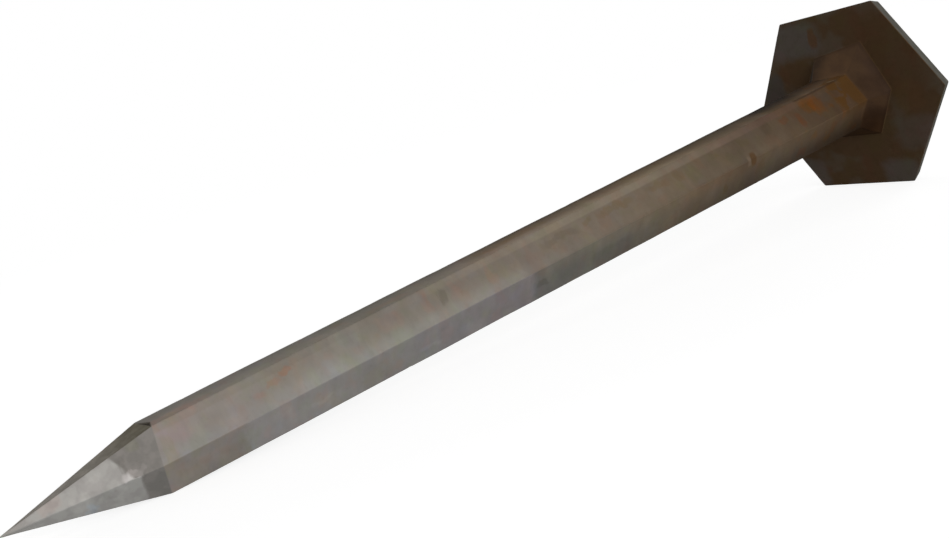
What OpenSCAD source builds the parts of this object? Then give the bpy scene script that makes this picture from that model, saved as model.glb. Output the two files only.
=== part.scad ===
// A forged nail of hexagonal section, lying on its shoulder and one flat of its head.
// The nail lies along X with the head at the +X end. The origin is the middle of
// its outline on the surface that it lies on, and +Z is up. All sizes in millimetres.

/* [Shank] */
// Length from the tip of the point to the underside of the head
under_head_l = 100; // [80:0.5:130]
// Width of the shank across its flats
shank_af = 6.1; // [4.5:0.1:9]
// Length of the point, from its tip to the shoulder
point_l = 14; // [9:0.5:24]

/* [Head] */
// Width of the head across the flats of its underside
head_af = 19.9; // [17:0.1:26]
// How far the struck face's flats stand in from the underside's
rim_in = 0.5; // [0:0.05:2]
// Thickness of the head
head_t = 1.4; // [0.8:0.1:4]

/* [Neck] */
// Length of the flare between the shank and the head
neck_l = 1.15; // [0.5:0.05:4]
// Width of the flare across its flats at the head
neck_af = 9.5; // [9:0.1:12]

/* [Damage and wear] */
// How far the flare stands off the shank's axis at the head
neck_off = 0.55; // [0:0.05:1]
// How far the upset corner of the flare is drawn out past the other corners
upset_out = 1.15; // [0:0.05:1.5]
// How far the shoulder runs up the shank at the upset corner
shoulder_slip = 0.7; // [0:0.05:2]
// How far down the shank the flare starts at the corner beside the upset one
flare_slip = 0.9; // [0:0.05:2]
// Width of the rust pit on the shank's near edge
pit_d = 1.3; // [0.6:0.1:1.8]
// Depth of the rust pit below that edge
pit_deep = 0.35; // [0.2:0.05:0.5]
// Distance from the middle of the rust pit to the underside of the head
pit_back = 18; // [8:0.5:50]

/* [Hidden] */

SIDES = 6;
// Corners are numbered round the axis from +Y towards +Z, from the first one above +Y.
FLARE_SLIP_CORNER = 0;
UPSET_CORNER = 1;
NEAR_CORNER = 2;
PIT_FN = 32;

face_af = head_af - 2 * rim_in;
pit_at = under_head_l - pit_back;

// The lying nail touches the surface along the lowest flat of the head and along the
// lowest edge of the shoulder, which leaves the tip of the point a little above it.
lean = atan((head_af - shank_af) / 2 / (under_head_l - point_l));
lift = shank_af / 2 * cos(lean) - point_l * sin(lean);
lying_l = (under_head_l + head_t) * cos(lean) + face_af / 2 * sin(lean);

function corner_r(af) = af / 2 / cos(180 / SIDES);
function corner_angle(k) = 360 / SIDES * (k + 1);

// One corner of a section: at distance x from the tip and distance r from the axis.
function corner(x, r, k) = [x, r * cos(corner_angle(k)), r * sin(corner_angle(k))];

// One section: its six corners, with corner `k_out` moved out by `out` and corner
// `k_slip` moved along the axis by `slip`.
function section(x, af, k_out = 0, out = 0, k_slip = 0, slip = 0) =
    [for (k = [0 : SIDES - 1])
        corner(x + (k == k_slip ? slip : 0), corner_r(af) + (k == k_out ? out : 0), k)];

// The flare's section at the head stands off the axis, towards the upset corner.
function stood_off(points, by) = [for (p = points) p + corner(0, by, UPSET_CORNER)];

// A solid from a tip through a list of sections to a flat end, in triangles that are
// wound clockwise from outside.
module tipped_loft(tip, sections) {
    last = len(sections) - 1;
    points = concat([tip], [for (s = sections) each s]);
    function at(ring, k) = 1 + ring * SIDES + (k + SIDES) % SIDES;
    point_faces = [for (k = [0 : SIDES - 1]) [0, at(0, k), at(0, k + 1)]];
    side_faces = [
        for (ring = [0 : last - 1], k = [0 : SIDES - 1])
            each [
                [at(ring, k), at(ring + 1, k), at(ring + 1, k + 1)],
                [at(ring, k), at(ring + 1, k + 1), at(ring, k + 1)]
            ]
    ];
    end_face = [[for (k = [SIDES - 1 : -1 : 0]) at(last, k)]];
    polyhedron(points, concat(point_faces, side_faces, end_face));
}

// The forged blank along the axis: point, shank, flare and head in one piece.
module blank() {
    shoulder = section(point_l, shank_af, k_slip = UPSET_CORNER, slip = shoulder_slip);
    shank_end = section(under_head_l - neck_l, shank_af,
                        k_slip = FLARE_SLIP_CORNER, slip = -flare_slip);
    flare = section(under_head_l, neck_af, k_out = UPSET_CORNER, out = upset_out);
    underside = section(under_head_l, head_af);
    struck = section(under_head_l + head_t, face_af);
    tipped_loft([0, 0, 0],
                [shoulder, shank_end, stood_off(flare, neck_off), underside, struck]);
}

// The pit is a shallow cap of a sphere cut into the shank's near edge.
module pit() {
    ball_r = (pit_d * pit_d / 4 + pit_deep * pit_deep) / (2 * pit_deep);
    translate(corner(pit_at, corner_r(shank_af) - pit_deep + ball_r, NEAR_CORNER))
        sphere(r = ball_r, $fn = PIT_FN);
}

module nail() {
    color([0.36, 0.31, 0.27])
        translate([-lying_l / 2, 0, lift])
            rotate([0, -lean, 0])
                difference() {
                    blank();
                    pit();
                }
}

nail();
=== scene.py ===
from math import atan, cos, pi, radians, sin

import bpy
import numpy as np
from mathutils import Euler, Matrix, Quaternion, Vector


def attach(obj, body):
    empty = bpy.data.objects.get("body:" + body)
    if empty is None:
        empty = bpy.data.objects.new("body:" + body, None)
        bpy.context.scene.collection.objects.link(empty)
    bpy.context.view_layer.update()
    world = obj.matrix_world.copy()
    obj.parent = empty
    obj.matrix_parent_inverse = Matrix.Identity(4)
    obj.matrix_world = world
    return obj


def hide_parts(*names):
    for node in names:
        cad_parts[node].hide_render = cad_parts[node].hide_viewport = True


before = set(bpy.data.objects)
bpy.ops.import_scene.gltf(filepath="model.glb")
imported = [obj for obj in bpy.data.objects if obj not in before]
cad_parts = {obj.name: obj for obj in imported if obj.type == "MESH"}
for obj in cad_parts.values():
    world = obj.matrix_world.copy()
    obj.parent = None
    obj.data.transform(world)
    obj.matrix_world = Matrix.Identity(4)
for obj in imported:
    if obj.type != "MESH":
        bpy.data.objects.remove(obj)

# A forged nail of hexagonal section, lying on its shoulder and one flat of its head.
# Its mesh is one closed surface, drawn along the nail's own axis in millimetres: x is the
# distance from the tip, and corners are numbered round the axis from +Y towards +Z.

MM = 0.001

# ---------------------------------------------------------------- sizes, in millimetres
UNDER_HEAD_L = 100.0      # tip to the underside of the head
SHANK_AF = 6.1            # across the shank's flats
POINT_L = 14.0            # tip to shoulder
HEAD_AF = 19.9            # across the flats of the head's underside
RIM_IN = 0.5              # how far the struck face's flats stand in
HEAD_T = 1.4              # thickness of the head
NECK_L = 1.15             # flare between shank and head
NECK_AF = 9.5             # across the flare's flats at the head
NECK_OFF = 0.55           # the flare stands this far off the axis
UPSET_OUT = 1.15          # one corner of the flare is drawn out this far
SHOULDER_SLIP = 0.7       # the shoulder runs up the shank at the upset corner
FLARE_SLIP = 0.9          # the flare starts this far down the shank beside it
PIT_D = 1.1               # length of the pit on the near corner
PIT_HALF_ROUND = 0.85     # half its width round the nail
PIT_DEEP = 0.24           # its depth
PIT_LIP = 0.035           # height of the lip round it
PIT_AT = UNDER_HEAD_L - 18.1
LAP_DEEP = 0.16           # depth of the lap that gapes beside the slipped shoulder
LAP_GAPE = 0.50           # how far it gapes along the nail at its middle
LAP_MIDDLE = 0.30         # how far its middle is to the front of the axis
LAP_TAPER = 0.40          # how fast it closes to each side of its middle
LAP_EDGE = 0.12           # width of the step down into it
BLUNT_AT = 0.07           # the tip is blunt: this far back
BLUNT_AF = 0.09           # it measures this across its flats
DENTS = 46                # shallow dents scattered over the shank
WAVE = 0.018              # height of the forging waves
SCALE = 0.009             # height of the coarse scale
FINE_SCALE = 0.005        # height of the fine scale

# How far out of true each corner of the head is: along y and z, from corner 0 on.
HEAD_STRAY = [(0.04, -0.15), (-0.20, 0.17), (-0.06, 0.08), (0.12, 0.0), (-0.05, 0.0), (0.0, 0.0)]
FLARE_STRAY = -0.30       # the flare's low front corner stands this far along y
TIP_STRAY = -0.05         # height of the tip over the axis
SHANK_STRAY = 0.07        # the shank's top back corner stands this far out at the head

SIDES = 6
FLARE_SLIP_CORNER = 0
UPSET_CORNER = 1
NEAR_CORNER = 2
LOW_CORNER = 3
LAP_FACE = 0

LEAN = atan((HEAD_AF - SHANK_AF) / 2 / (UNDER_HEAD_L - POINT_L))
LIFT = SHANK_AF / 2 * cos(LEAN) - POINT_L * sin(LEAN)
FACE_AF = HEAD_AF - 2 * RIM_IN
LYING_L = (UNDER_HEAD_L + HEAD_T) * cos(LEAN) + FACE_AF / 2 * sin(LEAN)

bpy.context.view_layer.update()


# ---------------------------------------------------------------- shape of the nail

def corner_r(af):
    """Radius to a corner of a hexagon that measures af across its flats."""
    return af / 2 / cos(pi / SIDES)


def corner_dir(k):
    """Unit vector from the axis towards corner k."""
    turn = 2 * pi / SIDES * (k + 1)
    return np.array([0.0, cos(turn), sin(turn)])


def section(x, af):
    """Six corners of a hexagonal section at distance x from the tip: corner_r(af) out."""
    return np.array([[x, 0, 0] + corner_r(af) * corner_dir(k) for k in range(SIDES)])


def key_sections():
    """The sections that the nail's faces run between, from the tip to the struck face's middle."""
    tip = section(0.0, 0.0)
    blunt = section(BLUNT_AT, BLUNT_AF)
    tip[:, 2] += TIP_STRAY
    blunt[:, 2] += TIP_STRAY
    shoulder = section(POINT_L, SHANK_AF)
    shoulder[UPSET_CORNER, 0] += SHOULDER_SLIP
    shank_end = section(UNDER_HEAD_L - NECK_L, SHANK_AF)
    shank_end[FLARE_SLIP_CORNER, 0] -= FLARE_SLIP
    shank_end[FLARE_SLIP_CORNER] += SHANK_STRAY * corner_dir(FLARE_SLIP_CORNER)
    flare = section(UNDER_HEAD_L, NECK_AF) + NECK_OFF * corner_dir(UPSET_CORNER)
    flare[UPSET_CORNER] += UPSET_OUT * corner_dir(UPSET_CORNER)
    flare[LOW_CORNER, 1] += FLARE_STRAY
    underside = section(UNDER_HEAD_L, HEAD_AF)
    struck = section(UNDER_HEAD_L + HEAD_T, FACE_AF)
    underside[:, 1:] += HEAD_STRAY
    struck[:, 1:] += HEAD_STRAY
    middle = section(UNDER_HEAD_L + HEAD_T, 0.0)
    return np.array([tip, blunt, shoulder, shank_end, flare, underside, struck, middle])


# For each stretch between key sections, the rows of the mesh on it and how far they are drawn
# to its ends. Then how far each key edge is rounded.
STRETCH_ROWS = [3, 78, 396, 16, 44, 14, 36]
STRETCH_PULL = [0.88, 0.88, 0.72, 0.88, 0.88, 0.88, 0.88]
KEY_ROUND = [0, 0.04, 0.10, 0.22, 0.07, 0.08, 0.14, 0]
COLUMNS_PER_FACE = 26
CREASE_ROUND = 0.12


def eased(count, pull):
    """count fractions from 0 up to 1, drawn towards both ends: t - pull * sin(2 pi t) / 2 pi."""
    t = np.arange(count) / count
    return t - pull * np.sin(2 * pi * t) / (2 * pi)


def unit(v):
    """v over its length, with zero left as zero."""
    size = np.linalg.norm(v, axis=-1, keepdims=True)
    return v / np.maximum(size, 1e-9)


def rounded_lines(keys):
    """Six polylines through the key corners with rounded joints.

    A point at distance d from a joint is moved by (T2 - T1) * (e - d)^2 / 4e when d < e, where
    T1 and T2 are the unit directions before and after the joint and e is its rounding."""
    steps = np.diff(keys, axis=0)
    lengths = np.linalg.norm(steps, axis=-1)
    ways = unit(steps)
    rows = []
    for i, count in enumerate(STRETCH_ROWS):
        t = eased(count, STRETCH_PULL[i])[:, None, None]
        line = keys[i] + t * steps[i]
        for joint, far in ((i, t[..., 0] * lengths[i]), (i + 1, (1 - t[..., 0]) * lengths[i])):
            e = KEY_ROUND[joint]
            if e:
                bend = ways[joint] - ways[joint - 1]
                line = line + bend * (np.maximum(e - far, 0) ** 2 / (4 * e))[..., None]
        rows.append(line)
    rows.append(keys[-1:])
    return np.concatenate(rows)


def rounded_round(lines):
    """Carries each row round the section: straight between corners, rounded at each corner.

    The rounding at a corner is the same formula as along the nail, and is kept under a third
    of the face's width, so that it fades out at the tip and in the middle of the struck face."""
    w = eased(COLUMNS_PER_FACE, 0.80)[None, :, None]
    ahead = np.roll(lines, -1, axis=1)
    steps = ahead - lines
    widths = np.linalg.norm(steps, axis=-1)
    ways = unit(steps)
    turn = ways - np.roll(ways, 1, axis=1)
    e = np.minimum(CREASE_ROUND, widths / 3)
    e = np.minimum(e, np.roll(e, 1, axis=1))[..., None]
    faces = []
    for k in range(SIDES):
        nxt = (k + 1) % SIDES
        run = lines[:, k, None] + w * steps[:, k, None]
        width = widths[:, k, None, None]
        for corner, far in ((k, w * width), (nxt, (1 - w) * width)):
            reach = np.maximum(e[:, corner, None], 1e-6)
            run = run + turn[:, corner, None] * np.maximum(reach - far, 0) ** 2 / (4 * reach)
        faces.append(run)
    return np.concatenate(faces, axis=1)


def lattice_noise(p, size, seed):
    """Smooth noise in -1..1: random values on a cubic lattice of the given size, joined by
    3t^2 - 2t^3 along each direction."""
    table = np.random.default_rng(seed).uniform(-1, 1, (64, 64, 64))
    q = p / size
    base = np.floor(q).astype(int)
    t = q - base
    t = t * t * (3 - 2 * t)
    total = np.zeros(p.shape[:-1])
    for corner in np.ndindex(2, 2, 2):
        cell = (base + np.array(corner)) % 64
        share = np.prod(np.where(np.array(corner) == 1, t, 1 - t), axis=-1)
        total += share * table[cell[..., 0], cell[..., 1], cell[..., 2]]
    return total


def grid_normals(p):
    """Outward unit normals of a grid that is open along rows and closed round columns."""
    along = np.gradient(p, axis=0)
    wrapped = np.concatenate([p[:, -1:], p, p[:, :1]], axis=1)
    across = wrapped[:, 2:] - wrapped[:, :-2]
    return unit(np.cross(across, along))


def on_face(along, face, share):
    """A place on the shank or point: its distance from the tip, the face that it is on, and
    the share of that face's width from the face's own corner to the next one."""
    radius = corner_r(SHANK_AF) * min(1.0, along / POINT_L)
    across = (1 - share) * corner_dir(face) + share * corner_dir((face + 1) % SIDES)
    return np.array([along, 0, 0]) + radius * across


def away(p, middle, half_along, half_round):
    """Distance from a place as a multiple of a size: 1 on an ellipsoid about it."""
    return np.linalg.norm((p - middle) / [half_along, half_round, half_round], axis=-1)


def hollow(distance, depth, lip):
    """Depth of a dent with a raised lip: -depth * (1 - d^2)^2 within d < 1, and lip * b^2 beyond,
    where b = 1 - ((d - 1.15) / 0.4)^2 while that is above zero."""
    bowl = np.clip(1 - distance ** 2, 0, None) ** 2
    bank = np.clip(1 - ((distance - 1.15) / 0.4) ** 2, 0, None) ** 2
    return lip * bank - depth * bowl


def small_dents(p):
    """Shallow dents of seeded places and sizes, scattered over the shank's six faces."""
    rng = np.random.default_rng(21)
    total = np.zeros(p.shape[:-1])
    for _ in range(DENTS):
        middle = on_face(rng.uniform(16, 97), rng.integers(SIDES), rng.uniform(0.1, 0.9))
        half_along, half_round = rng.uniform(0.25, 0.7), rng.uniform(0.35, 1.2)
        deep = rng.uniform(0.015, 0.045)
        total += hollow(away(p, middle, half_along, half_round), deep, 0.15 * deep)
    return total


def gaping_lap(p):
    """1 inside the wedge that gapes past the slipped shoulder on the lap's face, 0 outside it.

    The wedge runs from the shoulder's line to LAP_GAPE past it, less LAP_TAPER times the
    distance from its middle, and its two edges are smooth steps."""
    slip = np.clip(p @ corner_dir(UPSET_CORNER) / corner_r(SHANK_AF) * 2 - 1, 0, 1)
    past = p[..., 0] - POINT_L - SHOULDER_SLIP * slip
    gape = LAP_GAPE - LAP_TAPER * np.abs(p[..., 1] + LAP_MIDDLE)
    inside = np.clip(np.minimum(past + 0.04, gape - past) / LAP_EDGE, 0, 1)
    first, second = corner_dir(LAP_FACE), corner_dir(LAP_FACE + 1)
    middle = (first + second) / np.linalg.norm(first + second)
    on_flat = p @ middle > SHANK_AF / 2 - 0.25
    return inside * inside * (3 - 2 * inside) * on_flat


def nail_grid():
    """The nail's surface as rows along the axis by columns round it, in millimetres.

    Each point of the plain form moves along its normal by forging waves, scale, dents, the
    pit on the near corner and the gaping lap where the shoulder has slipped."""
    p = rounded_round(rounded_lines(key_sections()))
    n = grid_normals(p)
    forged = WAVE * lattice_noise(p * [1, 0.8, 0.8], 7.0, 11)
    scaled = SCALE * lattice_noise(p, 1.6, 12) + FINE_SCALE * lattice_noise(p, 0.7, 13)
    fade = np.clip(p[..., 0] / 6, 0.05, 1)
    place = on_face(PIT_AT, NEAR_CORNER, 0.0)
    pit = hollow(away(p, place, PIT_D / 2, PIT_HALF_ROUND), PIT_DEEP, PIT_LIP)
    lap = -LAP_DEEP * gaping_lap(p)
    return p + n * ((forged + scaled) * fade + small_dents(p) + pit + lap)[..., None]


def placed(p):
    """From the nail's own axis to the row frame: turned by the lean, lifted, and in metres."""
    x, y, z = p[..., 0], p[..., 1], p[..., 2]
    return MM * np.stack([x * cos(LEAN) - z * sin(LEAN) - LYING_L / 2, y,
                          x * sin(LEAN) + z * cos(LEAN) + LIFT], axis=-1)


def closed_mesh(name, grid):
    """A mesh from a grid whose first and last rows are single points, with its faces outwards."""
    rows, columns = grid.shape[:2]
    points = np.concatenate([grid[:1, 0], grid[1:-1].reshape(-1, 3), grid[-1:, 0]])
    at = 1 + np.arange((rows - 2) * columns).reshape(rows - 2, columns)
    right = np.roll(at, -1, axis=1)
    quads = np.stack([at[:-1], right[:-1], right[1:], at[1:]], axis=-1).reshape(-1, 4)
    first = np.stack([np.zeros(columns, int), right[0], at[0]], axis=-1)
    last = np.stack([np.full(columns, len(points) - 1), at[-1], right[-1]], axis=-1)
    mesh = bpy.data.meshes.new(name)
    mesh.from_pydata(points.tolist(), [], first.tolist() + quads.tolist() + last.tolist())
    mesh.polygons.foreach_set("use_smooth", np.ones(len(mesh.polygons), bool))
    mesh.update()
    piece = bpy.data.objects.new(name, mesh)
    bpy.context.scene.collection.objects.link(piece)
    return piece


# ---------------------------------------------------------------- shader maths

class Wire:
    """One output socket of a material's nodes. Sums, products and the like add Math nodes."""

    def __init__(self, tree, socket):
        self.tree = tree
        self.socket = socket

    def node(self, kind, settings, inputs, output=0):
        """Adds a node of a type, sets it up, then fills its sockets with values or wires."""
        made = self.tree.nodes.new(kind)
        for name, value in settings.items():
            if name == "stops":
                set_stops(made.color_ramp, value)
            else:
                setattr(made, name, value)
        for name, value in inputs.items():
            if isinstance(value, Wire):
                self.tree.links.new(value.socket, made.inputs[name])
            else:
                made.inputs[name].default_value = value
        return Wire(self.tree, made.outputs[output])

    def math(self, operation, a, b=0.0):
        """Adds one Math node."""
        return self.node("ShaderNodeMath", {"operation": operation}, {0: a, 1: b})

    def __add__(self, other):
        return self.math("ADD", self, other)

    __radd__ = __add__

    def __sub__(self, other):
        return self.math("SUBTRACT", self, other)

    def __rsub__(self, other):
        return self.math("SUBTRACT", other, self)

    def __mul__(self, other):
        return self.math("MULTIPLY", self, other)

    __rmul__ = __mul__

    def above(self, low, high, way="SMOOTHSTEP"):
        """0 below low, 1 above high, and a smooth or straight step between them."""
        return self.node("ShaderNodeMapRange", {"interpolation_type": way},
                         {"Value": self, "From Min": low, "From Max": high})

    def below(self, low, high):
        """1 below low, 0 above high."""
        return 1 - self.above(low, high)


def set_stops(ramp, stops):
    """Puts (position, colour) stops into a colour ramp."""
    while len(ramp.elements) > 1:
        ramp.elements.remove(ramp.elements[-1])
    for i, (position, colour) in enumerate(stops):
        element = ramp.elements[0] if i == 0 else ramp.elements.new(position)
        element.position = position
        element.color = colour


def tone(red, green, blue):
    """A colour given as 0 to 255 on a screen, as the linear colour that a shader takes."""
    parts = np.array([red, green, blue]) / 255
    linear = np.where(parts <= 0.04045, parts / 12.92, ((parts + 0.055) / 1.055) ** 2.4)
    return (*linear.tolist(), 1.0)


def new_material(name):
    """A material with one Principled shader; returns it, the shader, and a wire to build on."""
    material = bpy.data.materials.new(name)
    material.use_nodes = True
    tree = material.node_tree
    shader = tree.nodes["Principled BSDF"]
    coords = tree.nodes.new("ShaderNodeTexCoord")
    return material, shader, Wire(tree, coords.outputs["Object"])


def blend(wire, factor, below, above):
    """Mixes two colours: below where factor is 0, above where it is 1."""
    return wire.node("ShaderNodeMix", {"data_type": "RGBA"}, {0: factor, 6: below, 7: above}, 2)


# Body colour along the nail, from grey to brown: distance from the tip in mm, and the colour.
BODY = [(14, (146, 139, 132)), (36, (132, 126, 116)), (52, (126, 116, 106)),
        (70, (116, 103, 87)), (80, (94, 81, 67)), (96, (80, 62, 46))]

# The worn top corner of the front, and the point's top facet, in the same way.
WORN_CORNER = [(15, (146, 136, 127)), (30, (130, 124, 115)), (50, (136, 125, 112)),
               (68, (132, 121, 104)), (86, (98, 78, 66)), (96, (84, 64, 44))]
POINT_TOP = [(0, (160, 154, 146)), (4, (136, 130, 122)), (13.4, (110, 104, 90))]

# What a mark does to the colour it lies on.
BARE = (1.60, 1.58, 1.62)
PALE = (1.15, 1.15, 1.15)
DARK = (0.78, 0.78, 0.76)
SOOTY = (0.60, 0.60, 0.50)
PINK = (1.10, 0.95, 0.92)
MAUVE = (1.05, 0.95, 1.00)
OLIVE = (0.95, 0.98, 0.88)
OCHRE = (0.92, 0.86, 0.70)
ORANGE = (1.30, 0.92, 0.52)
RUST = (1.12, 0.84, 0.74)
SLATE = (0.92, 1.04, 1.20)

# Marks: distance from the tip, face, share of its width, half their length, half their width
# round the nail, kind, strength.
POINT_MARKS = [
    (7, 2, 0.3, 0.8, 0.9, PALE, 0.9), (10.5, 2, 0.3, 0.6, 1.0, PALE, 0.6),
    (9, 2, 0.2, 0.5, 0.6, DARK, 0.5), (7.5, 2, 0.75, 0.5, 0.7, SLATE, 0.6),
    (4.5, 1, 0.35, 0.9, 0.5, PINK, 0.5), (8.5, 1, 0.55, 0.9, 0.5, PALE, 0.7),
    (12.5, 1, 0.1, 0.6, 0.5, OLIVE, 0.8), (11, 1, 0.55, 0.4, 0.7, DARK, 0.5),
    (11.5, 1, 0.85, 1.0, 0.35, BARE, 0.7)]
SHANK_MARKS = [
    # behind the shoulder
    (15, 1, 0.7, 0.5, 1.2, OLIVE, 0.8), (16, 1, 0.4, 1.3, 0.8, MAUVE, 0.8),
    (17.5, 0, 0.8, 3.0, 0.7, PINK, 0.8), (18.5, 2, 0.75, 2.5, 1.1, DARK, 0.3),
    (27, 1, 0.3, 0.6, 0.3, RUST, 0.9), (25.5, 1, 0.4, 0.7, 0.25, RUST, 0.6),
    (24, 1, 0.55, 0.7, 0.25, PINK, 0.6), (29, 2, 0.55, 1.5, 0.25, PALE, 0.5),
    # middle of the shank
    (34.5, 1, 0.7, 0.5, 0.9, DARK, 0.3), (38, 1, 0.4, 1.2, 0.7, PINK, 0.6),
    (42, 1, 0.4, 0.5, 0.9, PINK, 0.7), (43.5, 1, 0.45, 0.4, 0.6, DARK, 0.8),
    (45, 1, 0.4, 0.5, 0.8, PINK, 0.6), (49, 1, 0.45, 0.3, 1.0, PINK, 0.7),
    (41, 2, 0.65, 1.4, 0.25, PALE, 0.5), (39, 0, 0.7, 2.0, 0.7, PINK, 0.6),
    (54, 2, 0.5, 0.6, 0.4, SOOTY, 0.45), (51.5, 0, 0.5, 2.2, 0.8, OCHRE, 0.6),
    (56, 0, 0.5, 3.0, 0.7, OCHRE, 0.4),
    # towards the head
    (57.5, 1, 0.45, 2.2, 0.35, DARK, 0.5), (61, 1, 0.4, 0.6, 0.3, OCHRE, 0.6),
    (64.5, 1, 0.4, 2.2, 0.35, OCHRE, 0.7), (63, 2, 0.7, 2.6, 0.9, DARK, 0.6),
    (70, 1, 0.4, 1.4, 0.35, OCHRE, 0.5), (73, 1, 0.4, 0.4, 0.6, OCHRE, 0.6),
    (74.5, 1, 0.55, 0.9, 0.9, OLIVE, 0.9), (78, 1, 0.4, 0.6, 0.35, OLIVE, 0.9),
    (82, 1, 0.4, 0.7, 0.4, OLIVE, 0.8), (78, 2, 0.6, 0.4, 0.6, OCHRE, 0.7),
    (83, 2, 0.45, 0.4, 0.7, OCHRE, 0.6), (85.5, 1, 0.4, 0.6, 0.6, DARK, 0.5),
    (88, 1, 0.4, 0.4, 0.35, RUST, 0.8), (90, 1, 0.6, 0.3, 0.8, RUST, 0.8),
    (92, 1, 0.3, 0.8, 0.8, ORANGE, 0.9), (93, 1, 0.45, 0.8, 0.9, ORANGE, 0.8),
    (94.5, 1, 0.25, 0.7, 0.7, SLATE, 0.9), (95.5, 1, 0.6, 0.6, 0.5, OLIVE, 0.6),
    (89.5, 2, 0.7, 0.7, 0.5, RUST, 0.7), (94, 2, 0.35, 0.5, 0.5, RUST, 0.6),
    (86, 0, 0.97, 1.2, 0.25, MAUVE, 0.7)]

# Stains on the head's underside: their four colours, then each one's distance left of the axis
# as seen from the point and above it, half its width and height, all in mm, colour, strength.
GREY_STAIN = (92, 86, 80)
DUSKY_STAIN = (75, 70, 65)
EARTH_STAIN = (80, 60, 40)
RUSTY_STAIN = (92, 66, 44)
HEAD_MARKS = [
    (6, 3.5, 2.0, 1.5, EARTH_STAIN, 0.6), (-6.5, 4, 3.5, 5.0, EARTH_STAIN, 0.8),
    (4.5, 7.5, 3.2, 2.0, GREY_STAIN, 0.8), (9, 2, 1.5, 2.0, DUSKY_STAIN, 0.8),
    (6.5, -8.5, 1.7, 1.8, GREY_STAIN, 0.7), (-4.5, -9, 2.0, 1.7, GREY_STAIN, 0.7),
    (-7.5, -4.5, 2.6, 1.8, GREY_STAIN, 0.4), (2, 7.5, 0.5, 1.1, RUSTY_STAIN, 0.8),
    (-7.5, -0.5, 1.5, 1.6, RUSTY_STAIN, 0.4)]


def length_of(wire):
    """The length of a vector."""
    return wire.node("ShaderNodeVectorMath", {"operation": "LENGTH"}, {0: wire}, 1)


def about(own, middle, halves, strength, edge=(0.35, 1.6)):
    """strength inside a rounded box about a place, 0 outside, and a soft edge between them.

    With u the place less the middle over the half sizes, the box's distance is the length of
    the vector (ux^2, uy^2, uz^2)."""
    halves = np.array(halves)
    u = own.node("ShaderNodeVectorMath", {"operation": "MULTIPLY_ADD"}, {
        0: own, 1: tuple(1 / halves), 2: tuple(-np.array(middle) / halves)})
    u = own.node("ShaderNodeVectorMath", {"operation": "MULTIPLY"}, {0: u, 1: u})
    return own.node("ShaderNodeMapRange", {"interpolation_type": "SMOOTHSTEP"}, {
        "Value": length_of(u), "From Min": edge[0], "From Max": edge[1],
        "To Min": strength, "To Max": 0.0})


def noise(own, stretch, seed, detail=2.0, output=0):
    """Noise in 0..1 whose patches measure about stretch, in mm along x, y and z."""
    place = own.node("ShaderNodeVectorMath", {"operation": "MULTIPLY_ADD"}, {
        0: own, 1: tuple(1 / np.array(stretch)), 2: (seed * 7.3, seed * 3.1, seed * 5.7)})
    return own.node("ShaderNodeTexNoise", {}, {
        "Vector": place, "Scale": 1.0, "Detail": detail, "Roughness": 0.5}, output)


def ramp_along(share, stops):
    """A colour ramp on the distance from the tip, given as a share of the length to the head."""
    return share.node("ShaderNodeValToRGB", {"stops": [
        (at / UNDER_HEAD_L, tone(*colour)) for at, colour in stops]}, {0: share})


def tinted(colour, factor, by):
    """Multiplies a colour by another as far as factor goes."""
    return colour.node("ShaderNodeMix", {"data_type": "RGBA", "blend_type": "MULTIPLY"},
                       {0: factor, 6: colour, 7: (*by, 1.0)}, 2)


def facing(own, turn, low, high, way="SMOOTHSTEP"):
    """1 on the side at an angle round the axis from +Y towards +Z, 0 away from it.

    It steps on the reach towards that angle, in mm. On the shank, the reach towards a corner is
    3.52 at that corner and 1.76 at the corners beside it."""
    toward = (0.0, cos(radians(turn)), sin(radians(turn)))
    return own.node("ShaderNodeVectorMath", {"operation": "DOT_PRODUCT"},
                    {0: own, 1: toward}, 1).above(low, high, way)


def slipped(own, corner):
    """How far a slipped corner carries a line with it: 1 at that corner, 0 at those beside it."""
    radius = corner_r(SHANK_AF)
    return facing(own, 60 * (corner + 1), radius / 2, radius, "LINEAR")


def side(own, face, soft=0.05):
    """1 over one sixth of the turn about the axis, between a face's two corners, and 0 elsewhere."""
    from_first = facing(own, 60 * (face + 1) + 90, -soft / 2, soft / 2)
    return from_first * facing(own, 60 * (face + 2) - 90, -soft / 2, soft / 2)


def clouded(colour, own):
    """Soft clouds and faint streaks round the nail: darker, paler, pink, green and blue-grey."""
    broad = noise(own, (2.6, 3.0, 3.0), 1)
    narrow = noise(own, (0.9, 2.2, 2.2), 2)
    colour = tinted(colour, broad.above(0.46, 0.72), (0.93, 0.925, 0.92))
    colour = tinted(colour, broad.below(0.28, 0.50), (1.09, 1.09, 1.08))
    colour = tinted(colour, narrow.above(0.50, 0.76), (0.94, 0.94, 0.94))
    colour = tinted(colour, narrow.below(0.26, 0.50), (1.06, 1.06, 1.06))
    tint = noise(own, (1.6, 2.2, 2.2), 3)
    colour = tinted(colour, tint.above(0.53, 0.66), (1.04, 0.97, 0.96))
    colour = tinted(colour, tint.below(0.34, 0.47), (0.98, 1.02, 0.96))
    cool = noise(own, (2.0, 2.6, 2.6), 4)
    colour = tinted(colour, cool.above(0.54, 0.68), (0.98, 1.00, 1.06))
    return tinted(colour, cool.below(0.32, 0.46), (1.02, 1.00, 0.94))


def marked(colour, own, marks):
    """Adds marks of the shank or point to a colour."""
    for at, face, part, half_along, half_round, mark, strength in marks:
        mask = about(own, on_face(at, face, part), (half_along, half_round, half_round), strength)
        colour = tinted(colour, mask, mark)
    return colour


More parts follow.
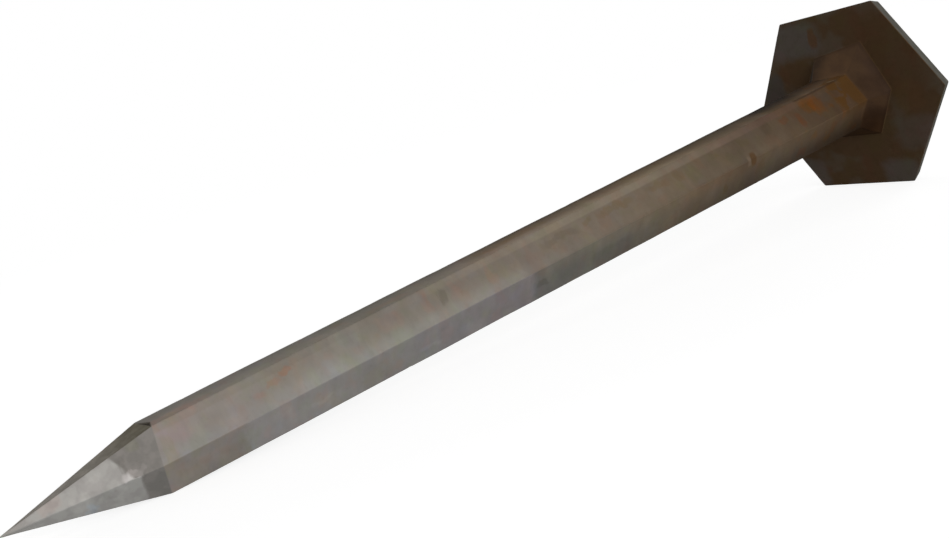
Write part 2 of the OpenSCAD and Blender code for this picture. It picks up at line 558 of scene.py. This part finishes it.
def shank_colour(own, loose, along):
    """The shank's colour: body and worn corner by distance from the tip, clouds, marks, rust."""
    share = along * (1 / UNDER_HEAD_L)
    colour = ramp_along(share, BODY)
    top, upper, lower = side(own, 0), side(own, 1), side(own, 2)
    # the lower front: cool grey as far as the middle, then browner, with painted light by the near corner
    # and painted shade along the lower edge
    colour = tinted(colour, lower * along.above(21, 22.4) * along.below(52.6, 53.6), (1.17, 1.23, 1.37))
    colour = tinted(colour, lower * along.above(32, 44) * along.below(52.6, 53.6), (1.00, 1.02, 1.09))
    colour = tinted(colour, lower * along.above(52.6, 53.6) * along.below(60, 70), (0.90, 0.97, 1.04))
    colour = tinted(colour, lower * along.above(52.6, 53.6) * along.below(68, 76), (0.90, 0.97, 1.02))
    colour = tinted(colour, lower * along.above(81, 86) * along.below(95.5, 97.5), (1.12, 1.22, 1.31))
    # painted light: paler along the near corner past the middle, as on a rounded shank
    colour = tinted(colour, lower * facing(own, 180, 2.5, 3.5) * along.above(52.5, 56), (1.26, 1.19, 1.11))
    # painted shade: darker along the lower edge past the middle
    colour = tinted(colour, lower * facing(own, 240, 2.4, 3.5) * along.above(54, 84), (0.70, 0.71, 0.74))
    # the upper front: pale scale by the near corner, with a sharp end at the middle
    near = upper * facing(own, 165, 2.76, 3.34)
    colour = tinted(colour, near * along.above(22, 30) * along.below(51.2, 52.4), (1.22, 1.24, 1.27))
    colour = tinted(colour, upper * along.below(20, 34), (1.04, 1.03, 1.05))
    colour = tinted(colour, upper * along.above(82, 84) * along.below(86.5, 88), (1.08, 1.10, 1.10))
    near = upper * facing(own, 180, 2.7, 3.4)
    colour = tinted(colour, near * along.below(56, 62), (1.03, 1.08, 1.12))
    colour = tinted(colour, near * along.above(74, 80) * along.below(89, 92), (1.16, 1.17, 1.18))
    # the top: painted shade darker towards its back corner, and a painted shadow of the head on its back
    # near the head; brown past the middle
    # painted shade: darker towards the back corner
    colour = tinted(colour, top * facing(own, 60, 2.2, 3.5), (0.80, 0.82, 0.84))
    colour = tinted(colour, top * along.above(46, 52) * along.below(76, 86), (1.04, 0.97, 0.88))
    # painted shade, deepest at the back corner, from the middle on
    back = top * facing(own, 60, 1.9, 3.3, "LINEAR")
    colour = tinted(colour, back * along.above(34, 62), (0.64, 0.62, 0.60))
    # painted shadow of the head across the back of the top
    colour = tinted(colour, back * along.above(86.4, 88.4) * along.below(92.6, 94.4), (0.33, 0.33, 0.34))
    # painted shade: a dark band along the back corner
    colour = tinted(colour, top * facing(own, 60, 2.95, 3.4) * along.above(24, 60), (0.74, 0.73, 0.71))
    # the top, all across: a little darker at the point's end, paler from the middle to the head
    colour = tinted(colour, top * along.below(36, 46), (0.90, 0.90, 0.89))
    colour = tinted(colour, top * along.below(17, 21), (0.92, 0.92, 0.92))
    colour = tinted(colour, top * along.above(93, 94) * along.below(95, 96.5), (0.83, 0.83, 0.83))
    colour = tinted(colour, top * along.above(44, 50), (1.02, 0.98, 0.96))
    colour = tinted(colour, top * along.above(56, 62), (1.06, 1.10, 1.09))
    colour = tinted(colour, top * along.above(68, 74) * along.below(86, 88.5), (1.20, 1.23, 1.27))
    colour = tinted(colour, top * along.above(83, 84.5) * along.below(86, 88.5), (1.12, 1.14, 1.16))
    # the top, by its front corner: cream
    colour = tinted(colour, top * facing(own, 120, 2.5, 3.5), (1.08, 1.07, 1.05))
    colour = tinted(colour, top * facing(own, 120, 2.6, 3.4) * along.above(48, 53) * along.below(72, 86),
                    (1.18, 1.26, 1.34))
    colour = tinted(colour, top * facing(own, 120, 1.9, 3.3, "LINEAR") * along.above(91.5, 93.5),
                    (1.52, 1.66, 1.84))
    # the worn corner between the top and the front
    corner = upper * facing(own, 120, 3.08, 3.20)
    colour = blend(own, corner * 0.88, colour, ramp_along(share, WORN_CORNER))
    colour = clouded(colour, own)
    colour = marked(colour, loose, SHANK_MARKS)
    colour = tinted(colour, facing(own, 180, 3.38, 3.50) * along.above(50, 56) * along.below(85, 89),
                    (0.94, 0.93, 0.93))

    # rust that gathers near the head
    rust = noise(own, (1.2, 1.6, 1.6), 6)
    colour = tinted(colour, rust.above(0.53, 0.70) * along.above(84, 96), (1.22, 0.95, 0.68))
    gold = along.above(96.9, 97.7) + along.above(95.2, 96.0) * rust.above(0.46, 0.52)
    gold = gold.math("MINIMUM", gold, 1.0) * facing(own, 138, 1.6, 2.9)
    colour = blend(own, gold * 0.8, colour, tone(84, 57, 26))
    # a fine crease along the worn corner by the head
    crease = facing(own, 120, 3.40, 3.47) * along.above(90.4, 91.2) * along.below(97.0, 97.8)
    colour = blend(own, crease * 0.5, colour, tone(52, 40, 32))
    shade = facing(own, 250, 1.8, 3.4) * along.above(80, 97)
    colour = tinted(colour, shade, (0.62, 0.60, 0.55))

    # the pit: a rusty core and a pale lip on its side towards the point
    lip = about(own, on_face(PIT_AT - 0.62, NEAR_CORNER, 0.04), (0.22, 0.50, 0.50), 0.6)
    core = about(own, on_face(PIT_AT + 0.05, NEAR_CORNER, 0.03), (0.34, 0.70, 0.70), 0.8)
    colour = blend(own, lip, colour, tone(122, 104, 88))
    return blend(own, core, colour, tone(88, 64, 40))


def point_colour(own, loose, along, exact, height):
    """The point's colour: bare metal, up to an edge that slants back over the upper front."""
    cloud = noise(own, (1.0, 1.0, 1.0), 7)
    silver = blend(own, cloud.above(0.38, 0.62), tone(176, 173, 168), tone(166, 162, 158))
    silver = blend(own, along.below(0.6, 3.0), silver, tone(160, 156, 150))
    dull = blend(own, cloud.above(0.38, 0.62), tone(130, 126, 121), tone(139, 134, 129))
    steady = exact * 0.75 + along * 0.25
    slant = steady + side(own, 1, 0.03) * (height * 0.6 + 0.5)
    colour = blend(own, slant.below(11.85, 12.2), dull, silver)
    colour = marked(colour, loose, POINT_MARKS)
    colour = tinted(colour, side(own, 2, 0.03), (0.87, 0.89, 0.90))
    dark = ramp_along(along * (1 / UNDER_HEAD_L), POINT_TOP)
    dark = tinted(dark, cloud.above(0.46, 0.62), (0.85, 0.85, 0.84))
    dark = tinted(dark, cloud.below(0.34, 0.46), (1.12, 1.12, 1.12))
    return blend(own, side(own, 0, 0.03), colour, dark)


def head_colour(own, loose, exact):
    """The head's colour: brown with greyer patches beneath, and a grey rim and struck face."""
    patches = noise(own, (2.0, 3.4, 3.4), 9)
    under = blend(own, patches.above(0.48, 0.62), tone(83, 64, 45), tone(87, 74, 60))
    for left, up, half_wide, half_high, mark, strength in HEAD_MARKS:
        halves = (1.5, half_wide, half_high)
        mask = about(loose, (UNDER_HEAD_L, left, up), halves, strength, (0.45, 1.6))
        under = blend(own, mask, under, tone(*mark))
    fine = noise(own, (0.8, 0.9, 0.9), 13)
    under = tinted(under, fine.above(0.50, 0.75), (0.93, 0.92, 0.90))
    hue = noise(own, (2.0, 2.4, 2.4), 15)
    under = tinted(under, hue.above(0.52, 0.68), (1.07, 0.97, 1.01))
    under = tinted(under, hue.below(0.32, 0.48), (0.97, 1.03, 0.93))
    smear = noise(own, (1.2, 2.0, 2.0), 14)
    flare = blend(own, smear.above(0.36, 0.64), tone(96, 73, 53), tone(88, 67, 50))
    # painted shade: every facet of the flare but the top one is darker, the bottom and back ones most
    for face, by in ((1, (0.78, 0.79, 0.82)), (2, (0.76, 0.75, 0.76)), (3, (0.48, 0.44, 0.38)),
                     (4, (0.55, 0.54, 0.54)), (5, (0.45, 0.49, 0.54))):
        flare = tinted(flare, side(own, face, 0.25), by)
    across = own.node("ShaderNodeVectorMath", {"operation": "MULTIPLY"}, {0: own, 1: (0, 1, 1)})
    out = length_of(across)
    # slate at its back, mauve at its near corner, and painted shade below the shank
    flare = tinted(flare, facing(own, 0, -0.2, 2.2), (0.56, 0.60, 0.66))
    flare = tinted(flare, side(own, 1, 0.25) * facing(own, 180, 3.0, 4.2), (0.95, 0.95, 1.02))
    flare = tinted(flare, about(own, (UNDER_HEAD_L, -3.9, 1.0), (2, 1.3, 1.5), 1.0), (0.88, 0.86, 0.83))
    # painted shade below the shank, darkest next to it
    shade_below_shank = side(own, 2, 0.25) * facing(own, 270, 0.0, 2.2)
    flare = tinted(flare, shade_below_shank, (0.70, 0.66, 0.64))
    flare = tinted(flare, shade_below_shank * out.below(4.0, 5.2), (0.66, 0.62, 0.58))
    flare = tinted(flare, facing(own, 250, 2.9, 4.4), (0.80, 0.74, 0.62))
    # painted shade in the corner where the flare meets the head's underside
    flare = tinted(flare, exact.above(UNDER_HEAD_L - 0.22, UNDER_HEAD_L - 0.05), (0.80, 0.79, 0.78))
    head = blend(own, exact.above(UNDER_HEAD_L - 0.05, UNDER_HEAD_L - 0.025), flare, under)
    mottle = noise(own, (0.6, 1.6, 1.6), 10)
    rim = blend(own, mottle.above(0.38, 0.62), tone(90, 87, 80), tone(79, 77, 70))
    return blend(own, exact.above(UNDER_HEAD_L, UNDER_HEAD_L + 0.12), head, rim)


WAVER_PATCH = (0.9, 1.8, 1.8)     # patches of the noise that makes edges of marks ragged, mm
WAVER_REACH = (1.8, 1.3, 1.3)     # how strongly it moves them, mm
BUMP_STRENGTH = 0.25
BUMP_HEIGHT = 0.05 * MM
POINT_ROUGHNESS = 0.52
SHANK_ROUGHER = 0.30      # how much rougher the shank is than the point
GRAIN_ROUGHNESS = 0.12
SHINE = 0.05              # rusted iron shines little


def forged_iron():
    """Forged iron: bare and pale at the point, grey-brown scale, and rust towards the head."""
    material, shader, coords = new_material("forged_iron")
    own = coords.node("ShaderNodeMapping", {"vector_type": "POINT"}, {
        "Vector": coords.node("ShaderNodeVectorMath", {"operation": "SUBTRACT"},
                              {0: coords, 1: (-LYING_L / 2 * MM, 0, LIFT * MM)}),
        "Rotation": (0, LEAN, 0)})
    own = coords.node("ShaderNodeVectorMath", {"operation": "SCALE"}, {0: own, "Scale": 1 / MM})
    waver = noise(own, WAVER_PATCH, 5, 3.0, 1)
    waver = own.node("ShaderNodeVectorMath", {"operation": "SUBTRACT"}, {0: waver, 1: (0.5, 0.5, 0.5)})
    loose = own.node("ShaderNodeVectorMath", {"operation": "MULTIPLY_ADD"},
                     {0: waver, 1: WAVER_REACH, 2: own})
    along = coords.node("ShaderNodeSeparateXYZ", {}, {0: loose}, 0)
    height = coords.node("ShaderNodeSeparateXYZ", {}, {0: loose}, 2)
    exact = coords.node("ShaderNodeSeparateXYZ", {}, {0: own}, 0)

    # the shoulder's line, which runs up the shank at the slipped corner
    past_shoulder = exact - slipped(own, UPSET_CORNER) * SHOULDER_SLIP
    colour = blend(own, past_shoulder.above(POINT_L - 0.12, POINT_L + 0.04),
                   point_colour(own, loose, along, exact, height), shank_colour(own, loose, along))
    # the lap that gapes beside it, painted dark as painted shade in its groove
    across = coords.node("ShaderNodeSeparateXYZ", {}, {0: own}, 1)
    taper = across + LAP_MIDDLE
    taper = taper.math("ABSOLUTE", taper) * LAP_TAPER
    lap = past_shoulder.above(POINT_L - 0.12, POINT_L - 0.02) * side(own, LAP_FACE)
    lap = lap * (past_shoulder + taper).below(POINT_L + LAP_GAPE - 0.08, POINT_L + LAP_GAPE + 0.08)
    # painted shade: the lap's groove is painted dark
    colour = blend(own, lap * 0.92, colour, tone(54, 48, 39))
    # the flare, which starts further down at its slipped corner
    past_shank = exact + slipped(own, FLARE_SLIP_CORNER) * FLARE_SLIP
    neck_at = UNDER_HEAD_L - NECK_L
    colour = blend(own, past_shank.above(neck_at - 0.10, neck_at + 0.10), colour,
                   head_colour(own, loose, exact))

    grain = noise(own, (0.32, 0.40, 0.40), 11, 3.0)
    colour = tinted(colour, grain.above(0.50, 0.85), (0.94, 0.93, 0.92))
    coords.tree.links.new(colour.socket, shader.inputs["Base Color"])

    scale = noise(own, (0.8, 1.4, 1.4), 12, 4.0)
    relief = grain * 0.4 + scale * 0.9
    bump = own.node("ShaderNodeBump", {}, {
        "Height": relief, "Strength": BUMP_STRENGTH, "Distance": BUMP_HEIGHT})
    coords.tree.links.new(bump.socket, shader.inputs["Normal"])
    rough = exact.above(8.0, 15.0) * SHANK_ROUGHER + grain * GRAIN_ROUGHNESS + POINT_ROUGHNESS
    coords.tree.links.new(rough.socket, shader.inputs["Roughness"])
    shader.inputs["Specular IOR Level"].default_value = SHINE
    return material


# ---------------------------------------------------------------- stage

# Camera: its place in metres, its turns in degrees, its sensor and lens in millimetres. It is
# shifted because the view is framed round a nail that lies off the lens's centre.
CAMERA_AT = (-0.05233, -0.08563, 0.02792)
CAMERA_AZIMUTH = 19.55
CAMERA_ELEVATION = 10.05
CAMERA_ROLL = 17.54
SENSOR_WIDTH = 36
LENS = 39.68
SHIFT_X = 0.2065
SHIFT_Y = 0.0332
NEAREST_SEEN = 0.005      # metres

# Lamps: name, place and size in metres, and watts.
LAMPS = [
    ("key", (-0.10, -0.56, 0.18), 0.45, 2.75),
    ("back_fill", (0.08, 0.60, 0.16), 0.30, 1.2),
    ("head_fill", (0.60, 0.12, 0.18), 0.30, 1.0)]
WORLD_LIGHT = 0.25

FLOOR_HALF = 3.0          # metres from its middle to an edge
FLOOR_GREY = 0.5          # its colour to rays that only carry light
FLOOR_SHOWN_GREY = 0.34   # its colour by the nail, to rays that show it
FLOOR_GLOW = 0.82         # its glow by the nail; away from the nail it glows plain white
FLOOR_FADE = (0.10, 0.30)     # metres from the nail's middle between the two


def look_from(at, azimuth, elevation, roll):
    """A camera's place and turn. Azimuth 0 looks along +Y and grows towards +X."""
    aim = Euler((radians(90 - elevation), 0, -radians(azimuth))).to_quaternion()
    return Vector(at), aim @ Quaternion((0, 0, 1), -radians(roll))


def add_camera():
    """The camera, made the scene's own."""
    data = bpy.data.cameras.new("camera")
    data.sensor_width = SENSOR_WIDTH
    data.lens = LENS
    data.shift_x = SHIFT_X
    data.shift_y = SHIFT_Y
    data.clip_start = NEAREST_SEEN
    camera = bpy.data.objects.new("camera", data)
    camera.rotation_mode = "QUATERNION"
    camera.location, camera.rotation_quaternion = look_from(
        CAMERA_AT, CAMERA_AZIMUTH, CAMERA_ELEVATION, CAMERA_ROLL)
    bpy.context.scene.collection.objects.link(camera)
    bpy.context.scene.camera = camera


def add_lamp(name, at, size, power):
    """A square soft lamp that faces the middle of the nail."""
    data = bpy.data.lights.new(name, "AREA")
    data.size = size
    data.energy = power
    lamp = bpy.data.objects.new(name, data)
    lamp.location = at
    lamp.rotation_mode = "QUATERNION"
    lamp.rotation_quaternion = (-Vector(at)).to_track_quat("-Z", "Y")
    bpy.context.scene.collection.objects.link(lamp)


def seen_share(tree):
    """1 for the rays that show a surface (camera, glossy and transmission), 0 for the rest."""
    path = tree.nodes.new("ShaderNodeLightPath")
    camera, glossy, through = [Wire(tree, path.outputs[name]) for name in (
        "Is Camera Ray", "Is Glossy Ray", "Is Transmission Ray")]
    return camera.math("MAXIMUM", camera, camera.math("MAXIMUM", glossy, through))


def add_world(strength):
    """A white world that lights at a low strength and shows as plain white."""
    world = bpy.data.worlds.new("studio")
    world.use_nodes = True
    tree = world.node_tree
    background = tree.nodes["Background"]
    background.inputs["Color"].default_value = (1, 1, 1, 1)
    shown = seen_share(tree) * (1 - strength) + strength
    tree.links.new(shown.socket, background.inputs["Strength"])
    bpy.context.scene.world = world


def add_floor():
    """A plain floor that shows white, with the nail's soft shadow kept round it.

    Rays that only carry light see FLOOR_GREY. Rays that show the floor see a little of that
    light on top of a glow, and the glow grows to plain white away from the nail."""
    mesh = bpy.data.meshes.new("floor")
    half = FLOOR_HALF
    mesh.from_pydata([(-half, -half, 0), (half, -half, 0), (half, half, 0), (-half, half, 0)],
                     [], [(0, 1, 2, 3)])
    floor = bpy.data.objects.new("floor", mesh)
    bpy.context.scene.collection.objects.link(floor)
    material, shader, coords = new_material("pale_floor")
    tree = material.node_tree
    near = length_of(coords).below(*FLOOR_FADE)
    seen = seen_share(tree)
    grey = seen * (near * FLOOR_SHOWN_GREY - FLOOR_GREY) + FLOOR_GREY
    glow = seen * (1 - near * (1 - FLOOR_GLOW))
    shader.inputs["Roughness"].default_value = 1.0
    shader.inputs["Specular IOR Level"].default_value = 0.0
    shader.inputs["Emission Strength"].default_value = 1.0
    tree.links.new(grey.socket, shader.inputs["Base Color"])
    tree.links.new(glow.socket, shader.inputs["Emission Color"])
    mesh.materials.append(material)


def main():
    """Sets the stage, then makes the nail and says what it stands for."""
    add_camera()
    add_world(WORLD_LIGHT)
    add_floor()
    for name, at, size, power in LAMPS:
        add_lamp(name, at, size, power)
    bpy.context.scene.view_settings.view_transform = "Standard"

    nail = closed_mesh("nail_body", placed(nail_grid()))
    nail.data.materials.append(forged_iron())
    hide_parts("nail")
    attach(nail, "root")


main()
